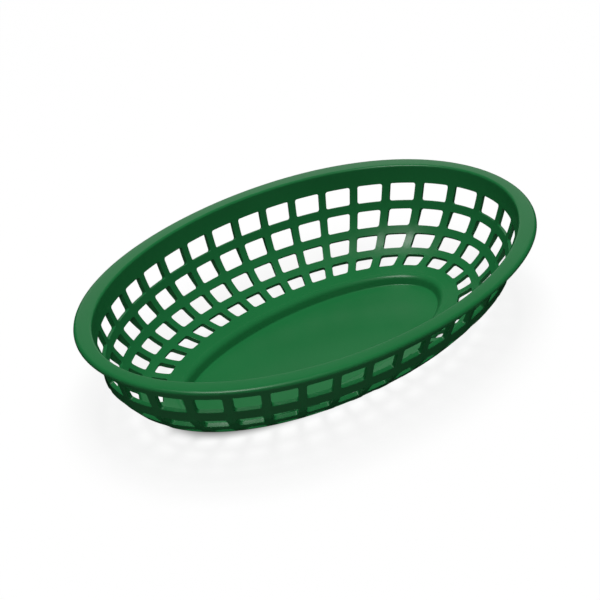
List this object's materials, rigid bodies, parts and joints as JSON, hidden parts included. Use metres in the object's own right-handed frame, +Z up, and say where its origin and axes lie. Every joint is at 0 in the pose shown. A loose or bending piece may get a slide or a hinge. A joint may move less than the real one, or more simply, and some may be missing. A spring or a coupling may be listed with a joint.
{
  "type": "plastic serving basket",
  "caption": "Low oval serving basket of moulded green plastic: flared rim, bowed wall of rows of open windows, and a solid base with a sunk oval panel that it stands on.",
  "frame": {"origin": "middle of the flat underside of the base, on the surface that the basket stands on", "axes": "+X along the basket's length, +Y across it, +Z up through the open top"},
  "size_m": [0.238, 0.154, 0.046],
  "materials": {
    "moulded_plastic": "satin moulded polypropylene, green all through"
  },
  "bodies": {
    "root": {"rim": "moulded_plastic", "upper_band": "moulded_plastic", "hoop_1": "moulded_plastic", "hoop_2": "moulded_plastic", "hoop_3": "moulded_plastic", "rib_01": "moulded_plastic", "rib_02": "moulded_plastic", "rib_03": "moulded_plastic", "rib_04": "moulded_plastic", "rib_05": "moulded_plastic", "rib_06": "moulded_plastic", "rib_07": "moulded_plastic", "rib_08": "moulded_plastic", "rib_09": "moulded_plastic", "rib_10": "moulded_plastic", "rib_11": "moulded_plastic", "rib_12": "moulded_plastic", "rib_13": "moulded_plastic", "rib_14": "moulded_plastic", "rib_15": "moulded_plastic", "rib_16": "moulded_plastic", "rib_17": "moulded_plastic", "rib_18": "moulded_plastic", "rib_19": "moulded_plastic", "rib_20": "moulded_plastic", "rib_21": "moulded_plastic", "rib_22": "moulded_plastic", "rib_23": "moulded_plastic", "rib_24": "moulded_plastic", "rib_25": "moulded_plastic", "rib_26": "moulded_plastic", "rib_27": "moulded_plastic", "rib_28": "moulded_plastic", "rib_29": "moulded_plastic", "rib_30": "moulded_plastic", "rib_31": "moulded_plastic", "rib_32": "moulded_plastic", "rib_33": "moulded_plastic", "rib_34": "moulded_plastic", "rib_35": "moulded_plastic", "rib_36": "moulded_plastic", "base_border": "moulded_plastic", "base_step": "moulded_plastic", "base_panel": "moulded_plastic"}
  },
  "joints": []
}
